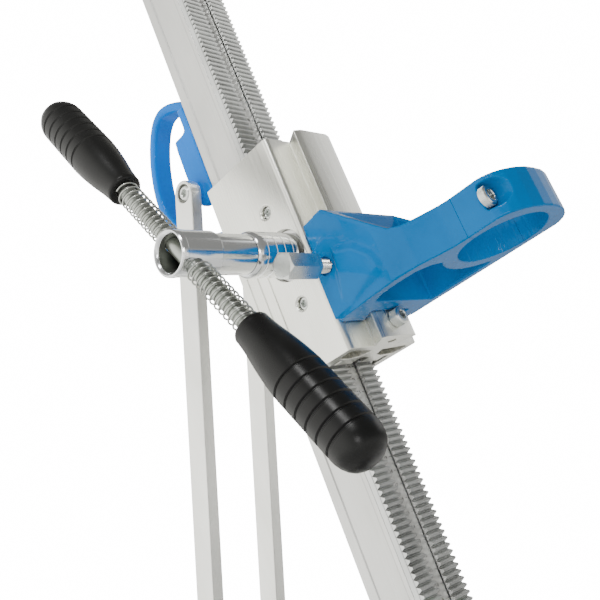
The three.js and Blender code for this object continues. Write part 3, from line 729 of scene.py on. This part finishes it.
def cap_screws():
    """Every screw with a knurled head: the stop, the cap's two, the struts' two and the brace's clamp."""
    socket_screw("y", STOP.z, STOP.x, *ends("stop_screw", "y"), "stop_screw", 6.2, 3.85, 7.7)
    for side, way in (("left", 1), ("right", -1)):
        node = "cap_screw_" + side
        spot = middle(node)
        socket_screw("y", spot.z, spot.x, *ends(node, "y"), node, 6.5, 2.75, 5.2, 3.5, 0.8)
        node = "strut_screw_" + side
        socket_screw("x", BRACE.y, BRACE.z, *ends(node, "x")[::way], node, 5.9, 3.85, 5.8)
    node = "brace_clamp_screw"
    spot = middle(node)
    socket_screw("y", spot.z, spot.x, *ends(node, "y")[::-1], node, 6.2, 3.85, 7.5)


cap_screws()


def star_knob():
    """The lock's knob with six soft lobes, and its screw."""
    spot = middle("lock_knob")
    outline = []
    steps, lobes = 144, 6
    for i in range(steps):
        angle = 2 * pi * i / steps
        reach = 16.3 + 1.7 * cos(lobes * angle)
        outline.append((spot.y + reach * cos(angle), spot.z + reach * sin(angle)))
    knob = new_object("knob", prism("x", outline, 46, 60))
    cut(knob, turned("x", spot.y, spot.z, [(0, 40), (9, 40), (9, 47), (0, 47)], 64), "UNION")
    cast(knob, 0.6, 6)
    settle(knob, GRIP_BLACK, "lock_knob", sharp=60)
    piece(threaded("x", spot.y, spot.z, 3.85, 1.25, *ends("lock_screw", "x"), 24), ZINC, "lock_screw")


star_knob()


# ---- crank ----
def crank():
    """The chromed hub with its cross hole, and the grooved collar and the shaft behind it."""
    y, z = CRANK.y, CRANK.z
    end, root = ends("crank_hub", "x")
    head, radius, bore, shaft = 15.6, 14.0, 12.0, 9.3
    step, bore_floor = end + 34.4, end + 51.4
    tube = [
        (bore, end + 2.2), (bore + 0.4, end + 1.4), (head - 1.6, end + 0.1), (head - 0.9, end + 0.2),
        (head - 0.1, end + 1.1), (head, end + 1.8), (head, end + 4.6), (head - 0.25, end + 5.0),
        (head - 0.25, step - 1.5), (head - 0.6, step - 0.9), (radius, step), (radius, root - 0.3),
        (radius - 0.3, root), (shaft, root), (shaft, bore_floor), (bore, bore_floor), (bore, end + 2.2),
    ]
    hub = new_object("hub", turned("x", y, z, tube, 128))
    cross = placed(turned("z", 0, 0, [(0, -20), (6.3, -20), (6.3, 20), (0, 20)], 48), bar_frame())
    cut(hub, cross)
    settle(hub, CHROME, "crank_hub", sharp=30)
    hub.data.materials.append(BORE_STEEL)
    for face in hub.data.polygons:
        spot = face.center / MM
        inside = (spot.y - y) ** 2 + (spot.z - z) ** 2 < (bore + 0.1) ** 2
        face.material_index = int(inside and spot.x < root - 0.5)
    start, stop = ends("hub_collar", "x")
    wide = 16.25
    valley = wide - 0.9
    rings = [
        (shaft, start), (wide - 1.9, start), (wide - 1.5, start + 0.25), (wide - 0.15, start + 2.6),
        (wide, start + 3),
    ]
    for groove in (-70.5, -62.2, -54.2, -46.4):
        near, far = groove - 0.12, groove + 0.12
        rings += [(wide, groove - 0.6), (valley, near), (valley, far), (wide, groove + 0.6)]
    rings += [(wide, stop - 0.6), (wide - 0.6, stop), (shaft, stop), (shaft, start)]
    piece(turned("x", y, z, rings, 128), CHROME, "hub_collar", sharp=30)
    dressed("pinion_shaft", BRIGHT, 0.15, 1)
    dressed("retaining_ring", BRIGHT, 0.15, 1)


def bar_frame():
    """Stands a Z-drawn piece on the crank's cross bar."""
    tilt = Vector((0, 0, 1)).rotation_difference(BAR_DIRECTION).to_matrix().to_4x4()
    return Matrix.Translation(BAR) @ tilt


def grip(node, end):
    """A moulded handle: a narrow neck with a rolled rim, a swelling body with six cut rings, a round nose."""
    profile = [(6.3, 0), (10.2, 0), (11.5, 0.5), (12.1, 1.7), (12.1, 3), (12.3, 6)]
    profile += [(12.9, 12), (13.8, 18), (14.9, 25), (15.8, 32), (16.4, 38), (16.8, 44)]
    for i in range(6):
        place = 48 + i * 9.2
        wide = 17 - 0.06 * i
        profile += [(wide, place - 1.1), (wide - 0.5, place - 0.75), (wide - 1.05, place - 0.25),
                    (wide - 1.05, place + 0.25), (wide - 0.5, place + 0.75), (wide, place + 1.1)]
    profile += [(16.5, 99), (15.6, 102.5), (14.0, 106), (11.8, 108.8), (9, 110.7), (5, 111.8), (0, 112)]
    profile += [(0, 104), (6.3, 103), (6.3, 0)]
    rows = [(r, (GRIP_NECK + t) * end) for r, t in profile]
    bm = turned("z", 0, 0, rows, 96)
    piece(placed(bm, bar_frame()), GRIP_BLACK, node, sharp=45)


def spring(node, end):
    """A wound spring between the hub and a grip's neck."""
    start, stop = 16.8, GRIP_NECK - 1.1
    coil = new_object("coil", bmesh.new())
    height = (stop - start) * MM
    grown(coil, COIL, Turns=11.5, Radius=7.95 * MM, Wire=0.62 * MM, Height=height, Finish=SPRING_STEEL)
    bm = as_mesh(coil)
    if end < 0:
        bmesh.ops.rotate(bm, verts=bm.verts, cent=(0, 0, 0), matrix=Matrix.Rotation(pi, 3, "X"))
    bmesh.ops.translate(bm, verts=bm.verts, vec=(0, 0, end * start))
    obj = new_object("finished_" + node, placed(bm, bar_frame()))
    settle(obj, SPRING_STEEL, node, sharp=60)
    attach(obj, "crank")
    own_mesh(obj)


crank()
bar_profile = [(0, -178), (4.8, -178), (6, -176.8), (6, 176.8), (4.8, 178), (0, 178)]
piece(placed(turned("z", 0, 0, bar_profile, 64), bar_frame()), BAR_STEEL, "cross_bar")
for word, end in (("upper", 1), ("lower", -1)):
    grip("grip_" + word, end)
    spring("spring_" + word, end)


# ---- motor collar ----
def round_tool(axis, u, v, radius, start, end, sides=96):
    """A plain round bar, to cut with or to join on."""
    return turned(axis, u, v, [(0, start), (radius, start), (radius, end), (0, end)], sides)


def slab(low, high):
    """A block between two places along Y, wider and taller than the whole collar."""
    under, over, half = COLLAR_Z - 9, COLLAR_Z + 99, 90
    return prism("y", [(under, -half), (under, half), (over, half), (over, -half)], low, high)


def cheek_boss():
    """The swelling on the bracket's left cheek: flat outside, with a facet that slopes to the bottom edge."""
    crown = [(-60, 39), (-74, 34), (-84, 24), (-87, 14), (-78, 12), (-58, 26)]
    foot = [(-54, 48), (-78, 42), (-93, 28), (-100, 11), (-90, 0.6), (-44, 0.6)]
    bm = bmesh.new()
    for outline, x in ((crown, -51.5), (foot, -44.5)):
        for y, z in outline:
            bm.verts.new((x, y, COLLAR_Z + z))
    bmesh.ops.convex_hull(bm, input=bm.verts)
    return bm


def motor_collar():
    """The bracket and its cap are shaped as one casting and then sawn apart, so their skins run on."""
    casting = new_object("casting", cad_copy("motor_collar"))
    cut(casting, cad_copy("collar_cap"), "UNION")
    bore_side, ring_side, ring_top, bracket_face = 30.5, 38, COLLAR_Z + 28, -36.5
    for way in (-1, 1):
        near, far = way * bore_side, way * ring_side
        filler = [(COLLAR_Z, near), (COLLAR_Z, far), (ring_top, far), (ring_top, near)]
        cut(casting, prism("y", filler, SPLIT - 0.6, SPLIT + 0.4), "UNION")
    arch = arc(CLAMP.y - 4, CLAMP.z - 2, 19, 0, 180, 18)
    arch += [(CLAMP.y - 23, COLLAR_Z + 6), (CLAMP.y + 10, COLLAR_Z + 1)]
    arch = [(min(y, bracket_face), z) for y, z in arch]
    cut(casting, prism("x", arch, -46.6, -30), "UNION")
    cut(casting, cheek_boss(), "UNION")
    cast(casting, 0.8, 6)
    cut(casting, round_tool("z", SEAT.x, SEAT.y, 30.15, COLLAR_Z - 5, COLLAR_Z + 100, 128))
    cut(casting, round_tool("x", CLAMP.y, CLAMP.z, 6.6, -60, -44.6, 48))
    cap = new_object("cap", bmesh.new())
    cap.data = casting.data.copy()
    saw = 0.25
    cut(casting, slab(-260, SPLIT))
    cut(cap, slab(SPLIT - saw, 0))
    settle(casting, BLUE, "motor_collar", sharp=50)
    settle(cap, BLUE, "collar_cap", sharp=50)


motor_collar()


def clamp_bolt():
    """A long hexagon head with both ends chamfered, its threaded shank and the pad it presses."""
    start, tip = ends("clamp_bolt", "x")
    neck = start + 30
    head = hex_head("x", CLAMP.y, CLAMP.z, 8.5, start, neck, sides=96)
    shank = threaded("x", CLAMP.y, CLAMP.z, 4.95, 1.5, neck - 1, tip, 40)
    piece(joined(head, shank), ZINC, "clamp_bolt", sharp=22)
    spot = middle("pressure_pad")
    start, end = ends("pressure_pad", "x")
    pad = [(0, start), (4.6, start), (4.95, start + 0.4), (4.95, end - 0.4), (4.6, end), (0, end)]
    piece(turned("x", spot.y, spot.z, pad, 48), BRASS, "pressure_pad")


clamp_bolt()


# ---- brace, handle and struts ----
def smooth_path(points, steps=8):
    """A closed-end curve through points."""
    spots = [Vector(p) for p in points]
    chain = [spots[0] * 2 - spots[1], *spots, spots[-1] * 2 - spots[-2]]
    path = []
    for a, b, c, d in zip(chain, chain[1:], chain[2:], chain[3:]):
        for k in range(steps):
            t = k / steps
            path.append(0.5 * (2 * b + (c - a) * t + (2 * a - 5 * b + 4 * c - d) * t * t
                               + (3 * b - a - 3 * c + d) * t ** 3))
    path.append(spots[-1])
    return path


def handle_loop():
    """The carry handle: a flat band with rounded sides, swept along its curve behind the mast."""
    centre = [
        (50, 268), (59, 273.5), (70, 281), (82, 286.5), (93, 287.3), (104, 281), (115, 266),
        (124, 245), (129, 219), (125, 196), (113, 176), (95, 160), (72, 150), (50, 145),
    ]
    path = smooth_path([(0, y, CARRIAGE_Z + z) for y, z in centre])
    half_width, half_thick, corner = 10, 4.3, 3.4
    section = rounded([(-half_width, -half_thick), (half_width, -half_thick), (half_width, half_thick),
                       (-half_width, half_thick)], corner, 6)
    bm = bmesh.new()
    rings = []
    for i, spot in enumerate(path):
        ahead = (path[min(i + 1, len(path) - 1)] - path[max(i - 1, 0)]).normalized()
        across = Vector((1, 0, 0))
        out = ahead.cross(across)
        rings.append([bm.verts.new(spot + across * a + out * b) for a, b in section])
    for low, high in zip(rings, rings[1:]):
        for i in range(len(section)):
            j = (i + 1) % len(section)
            bm.faces.new((low[i], low[j], high[j], high[i]))
    bm.faces.new(rings[0])
    bm.faces.new(rings[-1])
    bmesh.ops.recalc_face_normals(bm, faces=bm.faces)
    return bm


def brace_bracket():
    """The bracket on the mast's rear: a plate with two ears, a boss for each strut, and the handle."""
    boss_end, face = ends("brace_bracket", "x")[1], ends("brace_bracket", "y")[0]
    y, z = BRACE.y, BRACE.z
    base, top, half, ear_inside = z - 12.4, z + 76, 24.5, 17
    inner_face = face + 7.6
    plate = prism("y", [(base, -half), (base, half), (top, half), (top, -half)], face, inner_face)
    ear = [
        (inner_face - 2, base), (y, base), (y + 6, z + 20), (y + 5, z + 55), (y - 9, z + 55),
        (inner_face - 2, z + 60),
    ]
    bracket = new_object("bracket", plate)
    for start, end in ((-half, -ear_inside), (ear_inside, half)):
        cut(bracket, prism("x", rounded(ear, 3), start, end), "UNION")
    for start, end in ((-boss_end, -24), (24, boss_end)):
        cut(bracket, round_tool("x", y, z, 9.5, start, end, 48), "UNION")
    cut(bracket, handle_loop(), "UNION")
    cast(bracket, 0.9, 8)
    cut(bracket, round_tool("x", y, z, 4.3, -30, 30, 48))
    clamp = middle("brace_clamp_screw")
    cut(bracket, round_tool("y", clamp.z, clamp.x, 7.1, inner_face - 3.3, 70, 48))
    cut(bracket, round_tool("y", clamp.z, clamp.x, 4.2, 40, 62, 48))
    # The bracket and handle get the collar's blue made lighter: painted light.
    settle(bracket, LIT_HANDLE_BLUE, "brace_bracket", sharp=50)
    dressed("brace_t_nut", ZINC, 0.3)


brace_bracket()
for side in ("left", "right"):
    dressed("strut_" + side, STRUT_METAL, 1.0, 3)


# ---- base ----
def base_bolts():
    """The bolts and nuts of the mast's pivot and of the struts' anchor, which has washers too."""
    _, y, z = middle("tilt_pivot_bolt")
    start, end = ends("tilt_pivot_bolt", "x")
    head = hex_head("x", y, z, 12, start, start + 10)
    plain = round_tool("x", y, z, 7.95, start + 9, 37, 64)
    thread = threaded("x", y, z, 7.95, 2, 36.5, end, 40)
    piece(joined(head, plain, thread), ZINC, "tilt_pivot_bolt", sharp=24)
    piece(hex_head("x", y, z, 12, *ends("tilt_pivot_nut", "x"), 8.3), ZINC, "tilt_pivot_nut", sharp=24)

    _, y, z = middle("strut_anchor_bolt")
    start, end = ends("strut_anchor_bolt", "x")
    head = hex_head("x", y, z, 8, start, start + 6.7)
    rim = [(0, -43), (16.4, -43), (17.1, -42.4), (17.1, -40.6), (16.4, -40.4), (0, -40.4)]
    washer = turned("x", y, z, rim, 64)
    thread = threaded("x", y, z, 4.45, 1.25, -41, end, 28)
    piece(joined(head, washer, thread), ZINC, "strut_anchor_bolt", sharp=24)
    start, end = ends("strut_anchor_nut", "x")
    nut = hex_head("x", y, z, 8, start + 2.4, end, 4.8)
    rim = [(4.8, 40.4), (16.4, 40.4), (17.1, 40.8), (17.1, 42.6), (16.4, 43), (4.8, 43), (4.8, 40.4)]
    washer = turned("x", y, z, rim, 64)
    piece(joined(nut, washer), ZINC, "strut_anchor_nut", sharp=24)


def levelling_screw(node):
    """A screw with a blunt point below and a hexagon head above."""
    spot = middle(node)
    start, end = ends(node, "z")
    tip = [(0, start), (1.6, start + 0.2), (4.2, start + 3.6), (4.2, start + 5), (0, start + 5)]
    point = turned("z", spot.x, spot.y, tip, 40)
    thread = threaded("z", spot.x, spot.y, 4.95, 1.5, start + 3.4, end - 6, 32)
    head = hex_head("z", spot.x, spot.y, 8, end - 7, end)
    piece(joined(point, thread, head), ZINC, node, sharp=24)


def wheel(side):
    """A moulded rim with spokes, and a tyre with cross treads."""
    spot = middle("tyre_" + side)
    half = 14
    inner, outer = spot.x - half, spot.x + half
    centre = Matrix.Translation((0, spot.y, spot.z))
    rim = [
        (6.3, inner), (11.5, inner), (12.2, inner + 0.8), (12.2, spot.x - 3), (23.5, spot.x - 2.4),
        (24, inner + 3), (24.6, inner + 2.2), (27.6, inner + 2), (27.6, outer - 2), (24.6, outer - 2.2),
        (24, outer - 3), (23.5, spot.x + 2.4), (12.2, spot.x + 3), (12.2, outer - 0.8), (11.5, outer),
        (6.3, outer), (6.3, inner),
    ]
    disc = turned("x", 0, 0, rim, 80)
    spoke = new_object("spoke", prism("x", rounded([(11, -1.4), (24.5, -1.8), (24.5, 1.8), (11, 1.4)], 0.5),
                                      spot.x - 9, spot.x + 9))
    grown(spoke, RING, Count=8, Finish=NYLON)
    piece(placed(joined(disc, as_mesh(spoke)), centre), NYLON, "wheel_rim_" + side, sharp=35)
    tread = [
        (28.3, inner + 1.2), (34, inner + 1), (36.5, inner + 2), (38.4, inner + 5), (39, inner + 8),
        (39, outer - 8), (38.4, outer - 5), (36.5, outer - 2), (34, outer - 1), (28.3, outer - 1.2),
        (28.3, inner + 1.2),
    ]
    carcass = turned("x", 0, 0, tread, 96)
    block = new_object("block", prism("x", rounded([(38, -2), (39.9, -1.8), (39.9, 1.8), (38, 2)], 0.4),
                                      spot.x - 8, spot.x + 8))
    grown(block, RING, Count=40, Finish=RUBBER)
    piece(placed(joined(carcass, as_mesh(block)), centre), RUBBER, "tyre_" + side, sharp=35)


def level():
    """The spirit level's domed vial and the ring that its bubble is read against."""
    spot = middle("level_vial")
    base, top = ends("level_vial", "z")
    left, right = ends("level_vial", "x")
    reach = (right - left) / 2
    dome = [
        (0, base), (reach - 0.3, base), (reach, base + 0.4), (reach, top - 2.4), (reach * 0.94, top - 1.5),
        (reach * 0.7, top - 0.6), (reach * 0.35, top - 0.12), (0, top),
    ]
    piece(turned("z", spot.x, spot.y, dome, 64), VIAL, "level_vial")
    ring = [(3.6, top - 0.3), (3.9, top - 0.3), (3.9, top + 0.05), (3.6, top + 0.05), (3.6, top - 0.3)]
    target = new_object("level_target", turned("z", spot.x, spot.y, ring, 48))
    target.data.materials.append(INK)
    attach(target, BODY_OF["level_vial"])


base_bolts()
for number in (1, 2, 3, 4):
    levelling_screw(f"levelling_screw_{number}")
for side in ("left", "right"):
    wheel(side)
    dressed("axle_block_" + side, CAST, 1.0, 3)
level()
dressed("axle", ZINC, 0.4)
dressed("base_plate", CAST, 1.2, 3)
dressed("foot_bracket", CAST, 1.0, 3)
dressed("strut_anchor", CAST, 0.8, 3)
dressed("level_housing", NYLON, 0.6, 3)


# ---- studio ----
def ground():
    """A pale floor that fades into the room a step away from the rig."""
    bm = bmesh.new()
    bmesh.ops.create_grid(bm, x_segments=1, y_segments=1, size=1300)
    sheet = new_object("floor", bm)
    sheet.location.z = -0.0005
    paint, nodes, links, shader = new_finish("floor_paint", (0.93, 0.93, 0.92), 0.6)
    links.new(tint(nodes, links, pattern(nodes, links, 3), (0.92, 0.92, 0.91), (0.94, 0.94, 0.93)),
              shader.inputs["Base Color"])
    place = nodes.new("ShaderNodeTexCoord")
    reach = nodes.new("ShaderNodeVectorMath")
    reach.operation = "LENGTH"
    fade = nodes.new("ShaderNodeMapRange")
    fade.interpolation_type = "SMOOTHSTEP"
    fade.inputs["From Min"].default_value = 0.35
    fade.inputs["From Max"].default_value = 0.92
    clear = nodes.new("ShaderNodeBsdfTransparent")
    mix = nodes.new("ShaderNodeMixShader")
    links.new(place.outputs["Object"], reach.inputs[0])
    links.new(reach.outputs["Value"], fade.inputs["Value"])
    links.new(fade.outputs["Result"], mix.inputs["Fac"])
    links.new(shader.outputs["BSDF"], mix.inputs[1])
    links.new(clear.outputs["BSDF"], mix.inputs[2])
    links.new(mix.outputs["Shader"], nodes["Material Output"].inputs["Surface"])
    sheet.data.materials.append(paint)


def lamps():
    """Small soft lamps for the highlights: the room itself gives most of the light."""
    aim = Vector((0, 0, 0.42))
    for name, place, size, power in (
        ("key", (-1.1, -1.2, 1.7), 0.5, 15),
        ("low", (-1.2, -1.3, 0.15), 0.35, 4),
        ("side", (1.5, -0.5, 1.0), 1.1, 5),
        ("back", (0.6, 1.5, 1.8), 1.2, 11),
    ):
        lamp = bpy.data.lights.new(name, "AREA")
        lamp.shape = "SQUARE"
        lamp.size = size
        lamp.energy = power
        holder = bpy.data.objects.new(name, lamp)
        holder.location = place
        holder.rotation_euler = (aim - Vector(place)).to_track_quat("-Z", "Y").to_euler()
        bpy.context.scene.collection.objects.link(holder)


def room():
    """A white room. As a light it is bright on the crank's side and low on the motor's side."""
    world = bpy.data.worlds.new("studio")
    bpy.context.scene.world = world
    world.use_nodes = True
    nodes, links = world.node_tree.nodes, world.node_tree.links
    backdrop = nodes["Background"]
    backdrop.inputs["Color"].default_value = (1, 1, 1, 1)
    backdrop.inputs["Strength"].default_value = 16
    glow = nodes.new("ShaderNodeBackground")
    glow.inputs["Color"].default_value = (1.0, 0.995, 0.95, 1)
    place = nodes.new("ShaderNodeTexCoord")
    toward = nodes.new("ShaderNodeVectorMath")
    toward.operation = "DOT_PRODUCT"
    toward.inputs[1].default_value = (-0.78, 0.62, -0.1)
    level = nodes.new("ShaderNodeMapRange")
    level.interpolation_type = "SMOOTHSTEP"
    for socket, value in (("From Min", 0.0), ("From Max", 0.98), ("To Min", 0.3), ("To Max", 2.5)):
        level.inputs[socket].default_value = value
    split = nodes.new("ShaderNodeSeparateXYZ")
    below = nodes.new("ShaderNodeMapRange")
    for socket, value in (("From Min", -0.05), ("From Max", -0.5), ("To Min", 0.2), ("To Max", 1.9)):
        below.inputs[socket].default_value = value
    total = nodes.new("ShaderNodeMath")
    total.operation = "MAXIMUM"
    seen = nodes.new("ShaderNodeLightPath")
    mix = nodes.new("ShaderNodeMixShader")
    links.new(place.outputs["Generated"], toward.inputs[0])
    links.new(place.outputs["Generated"], split.inputs["Vector"])
    links.new(split.outputs["Z"], below.inputs["Value"])
    links.new(toward.outputs["Value"], level.inputs["Value"])
    links.new(level.outputs["Result"], total.inputs[0])
    links.new(below.outputs["Result"], total.inputs[1])
    links.new(total.outputs["Value"], glow.inputs["Strength"])
    links.new(seen.outputs["Is Camera Ray"], mix.inputs["Fac"])
    links.new(glow.outputs["Background"], mix.inputs[1])
    links.new(backdrop.outputs["Background"], mix.inputs[2])
    links.new(mix.outputs["Shader"], nodes["World Output"].inputs["Surface"])


def camera():
    """A near view from the front left and below, looking up at the carriage."""
    lens = bpy.data.cameras.new("camera")
    lens.sensor_width = 36
    lens.lens = 49.2
    lens.shift_y = -0.0142
    lens.clip_start = 0.01
    holder = bpy.data.objects.new("camera", lens)
    right = Vector((0.685, -0.6377, -0.3523))
    up = Vector((0.0185, -0.4682, 0.8834))
    forward = Vector((0.7283, 0.6117, 0.3089))
    turn = Matrix((right, up, -forward)).transposed().to_4x4()
    spot = Vector((-460.2, -364.6, CARRIAGE_Z - 123.5)) * MM
    holder.matrix_world = Matrix.Translation(spot) @ turn
    bpy.context.scene.collection.objects.link(holder)
    bpy.context.scene.camera = holder


ground()
lamps()
room()
camera()
